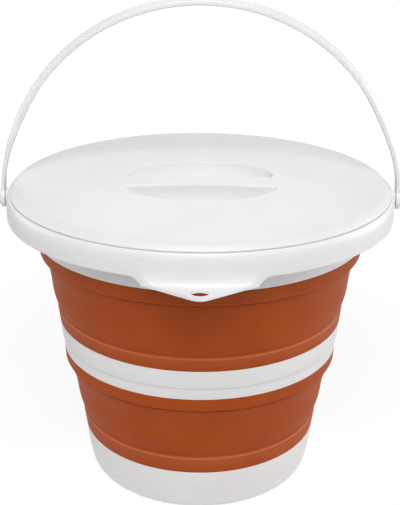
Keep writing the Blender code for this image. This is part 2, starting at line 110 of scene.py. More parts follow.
def smoothstep(start, end, value):
    """0 before start, 1 after end, eased between."""
    share = min(max((value - start) / (end - start), 0.0), 1.0)
    return share * share * (3 - 2 * share)


# %% [markdown]
# Some shapes are easier to cut or to join than to turn: the pockets, the holes and the handle's
# eyes. A Boolean does that between two closed solids, and the solid that cuts is thrown away.

# %% Cut and join solids
def solid(bm, name):
    """Makes an object of a bmesh."""
    mesh = bpy.data.meshes.new(name)
    bm.to_mesh(mesh)
    bm.free()
    made = bpy.data.objects.new(name, mesh)
    bpy.context.collection.objects.link(made)
    return made


def combined(bm, steps):
    """Applies exact Booleans, given as (operation, bmesh) pairs, and returns the result."""
    target = solid(bm, "combined")
    helpers = []
    for operation, other in steps:
        helpers.append(solid(other, "helper"))
        modifier = target.modifiers.new("step", "BOOLEAN")
        modifier.operation = operation
        modifier.solver = "EXACT"
        modifier.object = helpers[-1]
    bpy.context.view_layer.update()
    result = bmesh.new()
    result.from_mesh(target.evaluated_get(bpy.context.evaluated_depsgraph_get()).to_mesh())
    for used in [target, *helpers]:
        bpy.data.meshes.remove(used.data)
    bmesh.ops.remove_doubles(result, verts=result.verts, dist=WELD)
    bmesh.ops.recalc_face_normals(result, faces=result.faces)
    return result


def cylinder(radius, length, centre, axis=UPRIGHT, steps=64):
    """A capped cylinder about a point, in millimetres."""
    bm = bmesh.new()
    turn = Vector(UPRIGHT).rotation_difference(Vector(axis)).to_matrix().to_4x4()
    bmesh.ops.create_cone(bm, cap_ends=True, segments=steps, radius1=radius * MM,
                          radius2=radius * MM, depth=length * MM,
                          matrix=Matrix.Translation(Vector(centre) * MM) @ turn)
    return bm


def lofted(rings):
    """A closed solid through rings of (x, y, z) points in millimetres, with a face at each end."""
    bm = bmesh.new()
    loops = []
    for ring in rings:
        corners = [bm.verts.new((x * MM, y * MM, z * MM)) for x, y, z in ring]
        loops.append([bm.edges.new(pair) for pair in zip(corners, corners[1:] + corners[:1])])
    for loop, following in zip(loops, loops[1:]):
        bmesh.ops.bridge_loops(bm, edges=loop + following)
    for end in (loops[0], loops[-1]):
        bmesh.ops.contextual_create(bm, geom=end)
    bmesh.ops.recalc_face_normals(bm, faces=bm.faces)
    return bm


def joined(*meshes):
    """Puts several bmeshes into one."""
    whole = bmesh.new()
    for bm in meshes:
        mesh = bpy.data.meshes.new("joined")
        bm.to_mesh(mesh)
        bm.free()
        whole.from_mesh(mesh)
        bpy.data.meshes.remove(mesh)
    return whole


# %% [markdown]
# ## Finishes
#
# A finish is written as sums over the surface. `Value` stands for a number that varies from place
# to place, and adding or multiplying two of them adds the node that does it.
#
# The Mix node uses each socket name once for every kind of value, so its colour sockets go by
# number.

# %% Node sums
MIX_SHARE, MIX_FIRST, MIX_SECOND, MIX_RESULT = 0, 6, 7, 2


class Value:
    """A varying number in a finish. Sums with it add nodes."""

    def __init__(self, finish, socket):
        self.finish = finish
        self.socket = socket

    def __add__(self, other):
        return self.finish.maths("ADD", self, other)

    def __mul__(self, other):
        return self.finish.maths("MULTIPLY", self, other)

    __radd__ = __add__
    __rmul__ = __mul__

    def rise(self, low, high):
        """0 below low, 1 above high, eased between."""
        return self.finish.node("ShaderNodeMapRange", {"interpolation_type": "SMOOTHSTEP"},
                                {"Value": self, "From Min": low, "From Max": high}, "Result")


class Finish:
    """A material with one Principled shader."""

    def __init__(self, slot):
        self.slot = slot
        self.material = bpy.data.materials.new(f"{slot}_finish")
        self.material.use_nodes = True
        self.tree = self.material.node_tree
        self.shader = self.tree.nodes["Principled BSDF"]
        self.place = self.node("ShaderNodeTexCoord", {}, {}, "Object")

    def feed(self, socket, value):
        """Links a varying value to a socket, or sets a fixed one."""
        if isinstance(value, Value):
            self.tree.links.new(value.socket, socket)
        else:
            socket.default_value = value

    def node(self, kind, settings, inputs, output):
        """Adds any node and returns one of its outputs. Sockets go by name or by number."""
        made = self.tree.nodes.new(kind)
        for name, setting in settings.items():
            setattr(made, name, setting)
        for name, value in inputs.items():
            self.feed(made.inputs[name], value)
        return Value(self, made.outputs[output])

    def maths(self, operation, *values):
        """A Math node on two values."""
        return self.node("ShaderNodeMath", {"operation": operation}, dict(enumerate(values)), 0)

    def noise(self, size, detail=2.0, stretch=(1.0, 1.0, 1.0)):
        """Noise with features of about the given size in millimetres."""
        stretched = self.node("ShaderNodeMapping", {}, {"Vector": self.place, "Scale": stretch},
                              "Vector")
        return self.node("ShaderNodeTexNoise", {},
                         {"Vector": stretched, "Scale": 1 / (size * MM), "Detail": detail}, "Fac")

    def mixed(self, share, first, second):
        """A colour between two colours, each varying or given as red, green and blue."""
        first, second = [(*colour, 1.0) if isinstance(colour, tuple) else colour
                         for colour in (first, second)]
        return self.node("ShaderNodeMix", {"data_type": "RGBA"},
                         {MIX_SHARE: share, MIX_FIRST: first, MIX_SECOND: second}, MIX_RESULT)

    def bump(self, height, depth):
        """Turns a height from 0 to 1 into a relief of the given depth in millimetres."""
        self.set(Normal=self.node("ShaderNodeBump", {}, {"Height": height, "Distance": depth * MM,
                                                         "Strength": 1.0}, "Normal"))

    def set(self, **values):
        """Sets the shader's sockets. An underscore stands for a space."""
        for name, value in values.items():
            self.feed(self.shader.inputs[name.replace("_", " ")], value)


# %% [markdown]
# The hard parts are a white polypropylene with a fine satin grain from the mould. Moulded white is
# never quite even: it is a touch warmer and duller in slow patches, and the grain breaks up its
# gloss.

# %% White plastic
CLEAN_WHITE = (0.802, 0.799, 0.801)
WARM_WHITE = (0.780, 0.776, 0.775)
white = Finish("white_plastic")
slow = white.noise(size=60.0, detail=3.0)
grain = white.noise(size=0.55, detail=3.0)
white.set(
    Base_Color=white.mixed(slow.rise(0.35, 0.65), CLEAN_WHITE, WARM_WHITE),
    Roughness=0.36 + 0.08 * slow + 0.06 * grain,
    IOR=1.49,
)
white.bump(grain + 0.4 * white.noise(size=7.0), depth=0.008)
print("white plastic:", len(white.tree.nodes), "nodes")

# %% [markdown]
# The folding walls are a terracotta silicone, softer and duller than the plastic. Its colour is a
# little clouded by the flow in the mould, and it has a fine dry grain. A highlight is painted along
# its ridges as a paler line in the colour. How near each point of a wall lies to its ridge is
# stored on the wall itself, as `ridge`, so that the painted highlight stays on the ridge when the
# wall is folded.

# %% Terracotta silicone
DEEP_CLAY = (0.355, 0.055, 0.001)
LIGHT_CLAY = (0.385, 0.062, 0.003)
PALE_GRAIN_AND_HIGHLIGHT_CLAY = (0.60, 0.20, 0.10)
terracotta = Finish("terracotta_silicone")
cloud = terracotta.noise(size=26.0, detail=4.0, stretch=(1.0, 1.0, 0.5))
fine = terracotta.noise(size=0.8, detail=3.0)
clay = terracotta.mixed(cloud.rise(0.3, 0.7), DEEP_CLAY, LIGHT_CLAY)
# Painted highlight: the colour turns paler along each ridge, and the fine grain mixes in a little
# of the same pale colour at random.
painted_ridge_highlight = terracotta.node("ShaderNodeAttribute", {"attribute_name": "ridge"}, {}, "Fac")
terracotta.set(
    Base_Color=terracotta.mixed(0.08 * fine + 0.5 * painted_ridge_highlight, clay, PALE_GRAIN_AND_HIGHLIGHT_CLAY),
    Roughness=0.44 + 0.10 * cloud + 0.06 * fine,
    Specular_IOR_Level=0.19,
    IOR=1.43,
)
terracotta.bump(fine + 0.5 * terracotta.noise(size=5.0), depth=0.02)
print("terracotta silicone:", len(terracotta.tree.nodes), "nodes")


# %% [markdown]
# Each finished moulding rides on a body of the part when it is given one, stands for one of its
# solids, and takes the material of its finish. Edges that bend by more than `SHARP` degrees stay
# crisp.

# %% Place a moulding
SHARP = 38


def moulding(bm, name, finish, body, stands_for):
    """Makes a smooth piece in place of one of the part's solids, riding on a body if one is given.
    """
    made = solid(bm, name)
    made.data.shade_smooth()
    made.data.set_sharp_from_angle(angle=math.radians(SHARP))
    made.data.materials.append(finish.material)
    if body:
        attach(made, body)
    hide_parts(stands_for)
    triangles = sum(len(face.vertices) - 2 for face in made.data.polygons)
    print(f"{name}: {triangles} triangles")
    return made


# %% [markdown]
# ## Base
#
# The base is a shallow injection-moulded pan. Its side bulges a little, its foot is well rounded
# and a shallow groove runs round underneath. A thin tongue on its top edge is what the soft wall is
# moulded onto.

# %% Base
SOFT = 2.4
TONGUE = 1.0
TONGUE_HEIGHT = 4.0
SEAM = 0.12
BASE_TOP = (99.3, 37.3)
BASE_FLOOR = 2.6
tongue_side = BASE_TOP[0] - SOFT
tongue_top = BASE_TOP[1] + TONGUE_HEIGHT
base_outline = [
    (0, 0, 0), (66.0, 0, 0.3), (67.0, 1.0, 0.4), (71.0, 1.0, 0.4), (72.0, 0, 0.3), (92.1, 0, 3.6),
    (94.5, 6.0, 0), (95.7, 11.0, 0), (96.9, 17.0, 0), (97.8, 23.5, 0), (98.6, 30.0, 0),
    (*BASE_TOP, 0.35), (tongue_side + TONGUE, BASE_TOP[1], 0),
    (tongue_side + TONGUE, tongue_top, 0.2), (tongue_side, tongue_top, 0.2),
    (96.3, 30.0, 0), (95.4, 23.5, 0), (94.5, 17.0, 0), (93.3, 11.0, 0),
    (91.6, BASE_FLOOR, 4.6), (0, BASE_FLOOR, 0),
]
moulding(turned(base_outline), "base_pan", white, "base", "base")


# %% [markdown]
# ## Soft walls
#
# Each wall has a plain band at its foot, a ridge, a thin panel that folds, and a wider band at its
# top that overhangs the panel. The panel is slightly waved because it is moulded half folded, and
# its top is tucked in behind the crease under the upper band. When the bucket is pushed down, the
# panel turns inside out between the two bands, so both bands stay with their rings and only the
# panel bends.

# %% Soft wall outline
PANEL_POINTS = 18
TUCK = 0.6
TUCK_START = 0.88
CREASE = (0.4, -0.1)
CREASE_ROUND = 0.3
CREASE_WALL = 1.2
BAND_WALL = 0.8
SLOT = 4.3
END_ROUND = 0.35
FOLD_ROUND = 0.5
INSIDE_ROUND = 0.4
RIDGE_REACH = 1.1


def wall_outline(foot, ridge, panel_foot, panel_top, groove, band, wave, hollow):
    """Outline of a soft wall. The band is a list of corners from its lower edge to its top."""
    panel = []
    for step in range(PANEL_POINTS + 1):
        share = step / PANEL_POINTS
        radius = between(panel_foot[0], panel_top[0], share)
        radius += wave * math.sin(math.tau * share) - hollow * math.sin(math.pi * share)
        radius -= TUCK * groove * smoothstep(TUCK_START, 1.0, share)
        rounding = FOLD_ROUND if step in (0, PANEL_POINTS) else 0
        panel.append((radius, between(panel_foot[1], panel_top[1], share), rounding))
    top = band[-1]
    crease = panel_top[0] - groove
    outside = [
        (foot[0], foot[1] + SEAM, END_ROUND), (*ridge, FOLD_ROUND), *panel,
        (crease, panel_top[1] + CREASE[0], CREASE_ROUND),
        (crease, band[0][1] + CREASE[1], CREASE_ROUND),
        *band[:-1], (top[0], top[1] - SEAM, END_ROUND),
    ]
    inside = [(radius - SOFT, height, INSIDE_ROUND) for radius, height, _ in panel[:-1]]
    inside.append((crease - CREASE_WALL, band[0][1] + BAND_WALL, BAND_WALL))
    skin = SOFT - TONGUE - SEAM
    top_slot = [(top[0] - skin, top[1] - SEAM, 0), (top[0] - skin, top[1] - SLOT, 0),
                (top[0] - SOFT, top[1] - SLOT, 0.2)]
    foot_slot = [(foot[0] - SOFT, foot[1] + SLOT, 0.2), (foot[0] - skin, foot[1] + SLOT, 0),
                 (foot[0] - skin, foot[1] + SEAM, 0)]
    return [*outside, *top_slot, *reversed(inside), (ridge[0] - SOFT, ridge[1], INSIDE_ROUND),
            *foot_slot]


def mark_ridge(wall, ridge_z):
    """Stores on each point of a wall how near it is to the ridge, from 0 to 1."""
    # The stored nearness drives the painted highlight along the ridge.
    marks = wall.data.attributes.new("ridge", "FLOAT", "POINT")
    for vert, mark in zip(wall.data.vertices, marks.data):
        mark.value = 1 - smoothstep(0, RIDGE_REACH, abs(vert.co.z / MM - ridge_z))


# %% Lower wall
lower_wall_outline = wall_outline(
    foot=BASE_TOP, ridge=(101.15, 50.7), panel_foot=(100.0, 52.7), panel_top=(112.7, 99.6),
    groove=0.9, wave=1.1, hollow=0.45,
    band=[(113.9, 101.3, 0.5), (114.7, 103.0, 0), (114.65, 104.6, 0), (115.0, 107.6, 0),
          (115.2, 112.2, 0)])
lower_wall = moulding(turned(lower_wall_outline), "lower_soft_wall", terracotta, None, "lower_wall")
mark_ridge(lower_wall, 50.9)
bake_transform(lower_wall)

# %% Upper wall
upper_wall_outline = wall_outline(
    foot=(118.2, 137.5), ridge=(119.4, 147.9), panel_foot=(118.3, 149.5), panel_top=(128.6, 195.1),
    groove=1.2, wave=0.95, hollow=-0.1,
    band=[(131.5, 196.9, 0.5), (132.3, 198.9, 0), (132.35, 200.8, 0), (133.4, 204.6, 0),
          (134.15, 209.0, 0)])
upper_wall = moulding(turned(upper_wall_outline), "upper_soft_wall", terracotta, None, "upper_wall")
mark_ridge(upper_wall, 148.1)
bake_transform(upper_wall)

# %% [markdown]
# ## Middle ring
#
# The middle ring is the hard hoop between the two soft walls. The step round it is where the
# mould's halves meet, so it is crisp: the upper part stands almost a millimetre proud.

# %% Middle ring
ring_outline = [
    (115.2, 112.2, 0.35), (115.6, 121.7, 0.12), (116.5, 122.0, 0.3), (118.2, 137.5, 0.35),
    (116.8, 137.5, 0), (116.8, 141.5, 0.2), (115.8, 141.5, 0.2),
    (112.8, 108.2, 0.2), (113.8, 108.2, 0.2), (113.8, 112.2, 0),
]
moulding(turned(ring_outline), "middle_hoop", white, "middle_ring", "middle_ring")

# %% [markdown]
# ## Rim
#
# The rim is one large moulding. Its collar grips the upper wall, a flat seat carries the lid, and a
# rounded shoulder turns down into the skirt. In front the skirt reaches lower on both sides of the
# hanging tab, so the bottom edge of the turned skirt is simply moved down there.

# %% Rim ring
RIM = 156.4
RIM_WALL = 2.4
RIM_STEPS = 600
Z_SKIRT = 227.4
Z_TAB = 221.0
Z_FRONT = 222.0
Z_PIVOT = 236.0
Z_SEAT = 243.0
LOWERED = (40.4, 47.9)
EDGE_HEIGHT, EDGE_DEPTH = 1.0, 0.2
PIN_BORE = 3.5
LEFT, RIGHT = -1, 1
SIDEWAYS = (1, 0, 0)


def pin_bores(distance, length):
    """Bores for both handle pins, in millimetres from the bucket's middle."""
    return joined(*[cylinder(PIN_BORE, length, (side * distance, 0, Z_PIVOT), SIDEWAYS)
                    for side in (LEFT, RIGHT)])


shoulder = arc(centre=(153.6, 238.9), radii=(2.8, 7.5), start=84, end=0, steps=9)
skirt_inside = RIM - RIM_WALL
z_ceiling = Z_SEAT - RIM_WALL
rim_outline = [
    (134.2, 209.0, 0.35), (132.8, 209.0, 0), (132.8, 205.0, 0.2), (131.8, 205.0, 0.2),
    (134.0, 242.0, 0.5), (135.0, Z_SEAT, 0.5), (150.0, Z_SEAT, 0.4), (153.3, 246.1, 0.25),
    *shoulder,
    (RIM, Z_SKIRT, 0.6), (skirt_inside, Z_SKIRT, 0.4), (skirt_inside, z_ceiling, 1.2),
    (136.4, z_ceiling, 1.2),
]
rim = turned(rim_outline, steps=RIM_STEPS)
for vert in rim.verts:
    on_skirt_edge = (vert.co.z < (Z_SKIRT + EDGE_HEIGHT) * MM
                     and vert.co.xy.length > (skirt_inside - EDGE_DEPTH) * MM)
    if on_skirt_edge and vert.co.y < 0:
        lowered = 1 - smoothstep(*LOWERED, abs(vert.co.x) / MM)
        vert.co.z -= (Z_SKIRT - Z_FRONT) * MM * lowered
rim = combined(rim, [("DIFFERENCE", pin_bores(distance=156, length=12))])
print("rim ring:", len(rim.faces), "faces")

# %% [markdown]
# The tab grows out of the skirt with a hollow curve. The flare is turned like the rest of the rim
# and then cut to the rounded triangle that is seen from above. Its edges are eased last, with the
# hole's.

# %% Hanging tab
TAB_STEPS = 360
TAB_HALF = 41.0
TAB_TIP = 10.3
TAB_TIP_STEPS = 32
TAB_CUT = (-2, 16)
TAB_Y = -167.0
TAB_BACK = -80
TAB_FAR = 184
TAB_WALL = 2.4
TAB_EASE = 0.95
FLARE_RUN, FLARE_RISE, FLARE_OVER = 4.0, 10.6, 0.2
HOLE_ACROSS, HOLE_DEEP, HOLE_Y, HOLE_LENGTH = 6.5, 5.5, -168.2, 20
EDGE_BEND = 0.9
EDGE_OUT = 0.6
tab_root = RIM - RIM_WALL / 2
flare_top = Z_TAB + TAB_WALL + FLARE_RISE
tab_profile = [
    (tab_root, Z_TAB, 0), (TAB_FAR, Z_TAB, 0), (TAB_FAR, Z_TAB + TAB_WALL, 0),
    *arc((RIM + FLARE_RUN, flare_top), (FLARE_RUN, FLARE_RISE), start=270, end=180, steps=14),
    (tab_root, flare_top + FLARE_OVER, 0),
]
root = Vector((TAB_HALF, -math.sqrt(RIM ** 2 - TAB_HALF ** 2)))
to_root = root - Vector((0, TAB_Y))
tangent = math.atan2(to_root.y, to_root.x) - math.acos(TAB_TIP / to_root.length)
plan = [(TAB_HALF, TAB_BACK), tuple(root)]
for step in range(TAB_TIP_STEPS + 1):
    turn = tangent - (math.pi + 2 * tangent) * step / TAB_TIP_STEPS
    plan.append((TAB_TIP * math.cos(turn), TAB_Y + TAB_TIP * math.sin(turn)))
plan += [(-TAB_HALF, root.y), (-TAB_HALF, TAB_BACK)]
tab_shape = lofted([[(x, y, Z_TAB + height) for x, y in plan] for height in TAB_CUT])
hole = cylinder(HOLE_ACROSS, HOLE_LENGTH, (0, 0, Z_TAB))
bmesh.ops.scale(hole, verts=hole.verts, vec=(1, HOLE_DEEP / HOLE_ACROSS, 1))
bmesh.ops.translate(hole, verts=hole.verts, vec=(0, HOLE_Y * MM, 0))
tab = combined(turned(tab_profile, TAB_STEPS), [("INTERSECT", tab_shape), ("DIFFERENCE", hole)])
sharp = [edge for edge in tab.edges
         if len(edge.link_faces) == 2 and edge.calc_face_angle(0) > EDGE_BEND
         and min(vert.co.xy.length for vert in edge.verts) > (RIM + EDGE_OUT) * MM]
rounded(tab, sharp, TAB_EASE, steps=4)
print("tab:", len(sharp), "sharp edges eased")

# %% [markdown]
# A round boss on each side of the skirt carries the handle's pin. Bosses, eyes and pins are turned
# upright and then laid over, so their heights are distances from the bucket's middle.

# %% Bosses
PIVOT_STEPS = 64
BOSS_STEPS = 48


def on_pivot(outline, side, steps=PIVOT_STEPS):
    """A moulding turned about the handle's pivot, on one side of the bucket."""
    bm = turned(outline, steps)
    bmesh.ops.rotate(bm, verts=bm.verts, cent=ORIGIN,
                     matrix=Matrix.Rotation(side * math.pi / 2, 3, "Y"))
    bmesh.ops.translate(bm, verts=bm.verts, vec=(0, 0, Z_PIVOT * MM))
    return bm


boss_outline = [(PIN_BORE, 155.2, 0), (6.5, 155.2, 0), (6.5, 158.7, 0.5), (PIN_BORE, 158.7, 0.3)]
bosses = [on_pivot(boss_outline, side, BOSS_STEPS) for side in (LEFT, RIGHT)]
moulding(joined(rim, tab, *bosses), "rim_moulding", white, "rim", "rim")

# %% [markdown]
# ## Handle
#
# The handle is one strap, flat on the hand side and gently crowned outside, with a fine groove
# where the crown meets the edge. It is thin and narrow at the pins, where it flexes, and wide at
# the grip: each pair of sizes below is its size at the pins and at the top. The strap grows between
# the angles in `THICKENS` and `WIDENS`. One section is spun half a turn round the pivot, and each
# copy is then given the section of its own angle.

# %% Strap sections
STRAP_STEPS = 180
STRAP_WIDTH = (11.0, 18.0)
STRAP_INSIDE = (159.3, 155.0)
STRAP_EDGE = (2.8, 3.9)
CROWN = 2.5
CROWN_STEPS = 7
CROWN_POWER = 0.9
GROOVE = 0.25
THICKENS = (5, 27)
WIDENS = (5, 90)
INNER_ROUND, OUTER_ROUND = 1.2, 1.1
GROOVE_IN, CROWN_IN = 1.25, 1.4


def strap_section(turn):
    """The strap's section at an angle from the pivot, as points in metres."""
    rise = math.degrees(min(turn, math.pi - turn))
    grown = smoothstep(*THICKENS, rise)
    half = between(*STRAP_WIDTH, smoothstep(*WIDENS, rise)) / 2
    inner = between(*STRAP_INSIDE, grown)
    edge = between(*STRAP_EDGE, grown)
    rounds = [
        *arc((half - INNER_ROUND, INNER_ROUND), (INNER_ROUND, INNER_ROUND), -90, 0, steps=5),
        *arc((half - OUTER_ROUND, edge - OUTER_ROUND), (OUTER_ROUND, OUTER_ROUND), 0, 90, steps=5),
    ]
    side = [(y, height) for y, height, _ in rounds]
    side.append((half - GROOVE_IN, edge - GROOVE * grown))
    side.append((half - CROWN_IN, edge - GROOVE * grown / 2))
    for step in range(1, CROWN_STEPS + 1):
        share = 1 - step / CROWN_STEPS
        bulge = CROWN * grown * math.cos(math.pi / 2 * share) ** CROWN_POWER
        side.append(((half - CROWN_IN) * share, edge + bulge))
    points = side + [(-y, height) for y, height in reversed(side[:-1])]
    return [Vector((-(inner + height) * math.cos(turn), y,
                    Z_PIVOT + (inner + height) * math.sin(turn))) * MM for y, height in points]


strap = bmesh.new()
number = strap.verts.layers.int.new("number")
corners = [strap.verts.new(point) for point in strap_section(0.0)]
for index, corner in enumerate(corners):
    corner[number] = index
first_loop = [strap.edges.new(pair) for pair in zip(corners, corners[1:] + corners[:1])]
bmesh.ops.spin(strap, geom=corners + first_loop, cent=(0, 0, Z_PIVOT * MM), axis=(0, 1, 0),
               angle=math.pi, steps=STRAP_STEPS, dvec=ORIGIN)
sections = [strap_section(math.pi * step / STRAP_STEPS) for step in range(STRAP_STEPS + 1)]
for vert in strap.verts:
    turn = abs(math.atan2(vert.co.z - Z_PIVOT * MM, -vert.co.x))
    vert.co = sections[round(turn / math.pi * STRAP_STEPS)][vert[number]]
open_edges = [edge for edge in strap.edges if edge.is_boundary]
for side in (LEFT, RIGHT):
    end = [edge for edge in open_edges if edge.verts[0].co.x * side > 0]
    bmesh.ops.contextual_create(strap, geom=end)
bmesh.ops.recalc_face_normals(strap, faces=strap.faces)
print("strap:", len(sections), "sections of", len(corners), "points")

# %% Eyes and pins
eye_outline = [(0, 159.0, 0), (8.6, 159.0, 0.5), (8.6, 162.4, 0.7), (0, 162.4, 0)]
pin_outline = [
    (0, 151.5, 0), (3.2, 151.5, 0.3), (4.2, 152.5, 0.2), (4.2, 153.5, 0.2), (3.2, 153.5, 0),
    (3.2, 162.7, 0), (6.6, 162.7, 0.3), (6.6, 163.5, 0.4), (5.4, 164.1, 0.4), (0, 164.3, 0),
]
eyes = []
for side, name in ((LEFT, "left"), (RIGHT, "right")):
    eyes.append(("UNION", on_pivot(eye_outline, side)))
    pin = on_pivot(pin_outline, side)
    moulding(pin, f"snap_pin_{name}", white, "rim", f"handle_pin_{name}")
handle = combined(strap, [*eyes, ("DIFFERENCE", pin_bores(distance=160.7, length=8))])
moulding(handle, "strap_handle", white, "handle", "handle")

# %% [markdown]
# ## Lid
#
# The lid is a low dome with a rounded edge that lands on the rim's seat, and a plug underneath that
# fits the mouth. Two deep finger pockets leave a grip bar between them. The bar's front is
# scalloped for three fingertips.
#
# The shell is turned. Each pocket is a cutter built up in rings, whose upper rings flare out along
# the dome, so that the cut leaves a rounded lip.

# %% Lid shell
Z_TOP = 259.0
DOME_RADIUS = 147.8
DOME = 6.6
DOME_STEP = 4
DOME_POINTS = 37
EDGE_FROM = 144.5
EDGE_RUN = 5
EDGE_BELLY = (-1.6, 2.0)
EDGE_STEPS = 14
LID_STEPS = 288
LID_WALL = 2.2
PLUG = 133.2
PLUG_CORNER = 4
Z_PLUG = 235.0
Z_LAND = 243.3
LAND_INSIDE, LAND_OUTSIDE = 147.0, 150.0


def dome_z(x, y=0.0):
    """Height of the lid's outer surface, in millimetres."""
    return Z_TOP - DOME * (x * x + y * y) / DOME_RADIUS ** 2


dome = [(DOME_STEP * step, dome_z(DOME_STEP * step), 0) for step in range(DOME_POINTS)]
edge_start = Vector((EDGE_FROM, dome_z(EDGE_FROM)))
edge_end = Vector((153.5, 247.5))
along_dome = EDGE_RUN * Vector((1, -2 * DOME * EDGE_FROM / DOME_RADIUS ** 2))
lid_edge = [(*point, 0) for point in interpolate_bezier(
    edge_start, edge_start + along_dome, edge_end + Vector(EDGE_BELLY), edge_end, EDGE_STEPS)]
plug_inside = PLUG - LID_WALL
under = [(radius, height - LID_WALL, 0) for radius, height, _ in dome
         if radius < plug_inside - PLUG_CORNER]
lid_outline = [
    *dome[:-1], *lid_edge, (153.45, 246.6, 0.15), (152.8, 245.8, 0.1),
    (LAND_OUTSIDE, Z_LAND, 0.4), (LAND_INSIDE, Z_LAND, 0.4),
    (LAND_INSIDE, dome_z(LAND_INSIDE) - LID_WALL, 1.0), (PLUG, dome_z(PLUG) - LID_WALL, 1.0),
    (PLUG, Z_PLUG, 0.6), (plug_inside, Z_PLUG, 0.4),
    (plug_inside, dome_z(plug_inside) - LID_WALL, 1.0), *reversed(under),
]
shell = turned(lid_outline, steps=LID_STEPS)
print("lid shell:", len(shell.faces), "faces")

# %% [markdown]
# A pocket's plan is the bar's straight face and a curve between an ellipse and a rounded box: the
# higher its `power`, the boxier it is. Both pockets share one centre. They get narrower with depth.

# %% Pocket rings
POCKET_CENTRE = -23.2
POCKET_DEEP = 51.2
POCKET_FLOOR = 241.0
POCKET_ABOVE = 4
FRONT, BACK = -1, 1
FRONT_POCKET = {"side": FRONT, "face": 13.1, "across": 63.0, "power": 2.0, "passes": 22}
BACK_POCKET = {"side": BACK, "face": 9.0, "across": 60.5, "power": 2.5, "passes": 60}
TAPER = 0.095
LIP = 1.9
LIP_TURNS = range(12, 91, 13)
WALL_SHARES = (0.25, 0.5, 0.75, 1.0)
FLOOR_ROUND = 3.0
FLOOR_TURNS = range(18, 91, 18)
SCALLOP_PITCH = 20.6
SCALLOP_DEPTH = 2.2
SCALLOPED = 1.5 * SCALLOP_PITCH
BAR_POINTS = 96
ARC_POINTS = 112
LAST_PASSES = 2


def scallop(x):
    """How far the bar's front is hollowed at x."""
    if abs(x) >= SCALLOPED:
        return 0.0
    across = (x + SCALLOPED) % SCALLOP_PITCH / SCALLOP_PITCH * 2 - 1
    return SCALLOP_DEPTH * (1 - across * across)


def eased(ring, passes):
    """Rounds the corners of a closed ring of points by averaging neighbours."""
    for _ in range(passes):
        ring = [((before[0] + 2 * here[0] + after[0]) / 4, (before[1] + 2 * here[1] + after[1]) / 4)
                for before, here, after in zip(ring[-1:] + ring[:-1], ring, ring[1:] + ring[:1])]
    return ring


def boxy(turn, wide, deep, power):
    """A point of an ellipse at a power of 2, and of an ever boxier curve above it."""
    across, along = math.cos(turn), math.sin(turn)
    return (wide * math.copysign(abs(across) ** (2 / power), across),
            deep * math.copysign(abs(along) ** (2 / power), along))


def narrowed(depth):
    """What is left of a pocket's plan at a depth below the lid's top, as a share."""
    return 1 - TAPER * depth / (Z_TOP - POCKET_FLOOR)


def pocket_ring(side, face, across, power, passes, share, grow):
    """Plan of a pocket in millimetres: the bar's face, then the outer curve."""
    wide, deep = across * share + grow, POCKET_DEEP * share + grow
    near = face - grow
    corner = math.asin((near / deep) ** (power / 2))
    reach = wide * math.cos(corner) ** (2 / power)
    ring = [(reach * (2 * step / BAR_POINTS - 1), near) for step in range(BAR_POINTS)]
    ring += [boxy(corner + (math.pi - 2 * corner) * step / ARC_POINTS, wide, deep, power)
             for step in range(ARC_POINTS)]
    ring = eased(ring, passes)
    if side == FRONT:
        ring = [(x, y - scallop(x) if step < BAR_POINTS else y) for step, (x, y) in enumerate(ring)]
    return [(x, POCKET_CENTRE + side * y) for x, y in eased(ring, LAST_PASSES)]


def pocket(plan):
    """The space of one finger pocket as a closed solid, from above the dome to its floor.

    Each level is a share and a growth of the plan, and its height: how far it follows the dome,
    from 0 to 1, and a fixed height to add to that.
    """
    z_round = POCKET_FLOOR + FLOOR_ROUND
    levels = [(1.0, LIP * (1 - math.sin(turn)), 1.0, -LIP * (1 - math.cos(turn)))
              for turn in map(math.radians, LIP_TURNS)]
    levels.insert(0, (*levels[0][:2], 0.0, Z_TOP + POCKET_ABOVE))
    levels += [(narrowed((Z_TOP - LIP - z_round) * share), 0.0, 1 - share,
                z_round * share - LIP * (1 - share)) for share in WALL_SHARES]
    levels += [(narrowed(Z_TOP - z_round), -FLOOR_ROUND * (1 - math.cos(turn)), 0.0,
                z_round - FLOOR_ROUND * math.sin(turn)) for turn in map(math.radians, FLOOR_TURNS)]
    return lofted([[(x, y, follow * dome_z(x, y) + fixed)
                    for x, y in pocket_ring(**plan, share=share, grow=grow)]
                   for share, grow, follow, fixed in levels])


# %% [markdown]
# Under the lid the pockets are walled by a tub of the same thickness as the rest, and the grip bar
# is hollow from below, as an even wall is what lets the moulding cool flat.

# %% Tub, pockets and bar
TUB_POINTS = 160
TUB_ROUND = 3.0
TUB_TURNS_BACK = (-0.4, 0.2)
BAR_ROUND = 1.2


def tub_ring(height):
    """The tub's plan at a height: the front pocket's curve in front and the back one's behind."""
    left = narrowed(Z_TOP - height)
    ring = []
    for step in range(TUB_POINTS):
        turn = math.tau * step / TUB_POINTS
        behind = smoothstep(*TUB_TURNS_BACK, math.sin(turn))
        across, power = [between(FRONT_POCKET[size], BACK_POCKET[size], behind)
                         for size in ("across", "power")]
        x, y = boxy(turn, across + LID_WALL, POCKET_DEEP + LID_WALL, power)
        ring.append((x * left, POCKET_CENTRE + y * left, height))
    return ring


tub_low = POCKET_FLOOR - LID_WALL
tub = lofted([tub_ring(height) for height in (tub_low, Z_TOP - LIP)])
foot = [edge for edge in tub.edges
        if all(vert.co.z < (tub_low + EDGE_HEIGHT) * MM for vert in edge.verts)]
rounded(tub, foot, TUB_ROUND, steps=5)
bar_hollow = bmesh.new()
hollow_low, hollow_high = Vector((-45, -31.9, 232)), Vector((45, -16.4, 254.6))
bmesh.ops.create_cube(bar_hollow, size=1.0,
                      matrix=Matrix.Translation((hollow_low + hollow_high) / 2 * MM)
                      @ Matrix.Diagonal((*(hollow_high - hollow_low) * MM, 1)))
rounded(bar_hollow, bar_hollow.edges[:], BAR_ROUND, steps=3)
lid = combined(shell, [("UNION", tub), ("DIFFERENCE", pocket(FRONT_POCKET)),
                       ("DIFFERENCE", pocket(BACK_POCKET)), ("DIFFERENCE", bar_hollow)])
moulding(lid, "domed_lid", white, "lid", "lid")

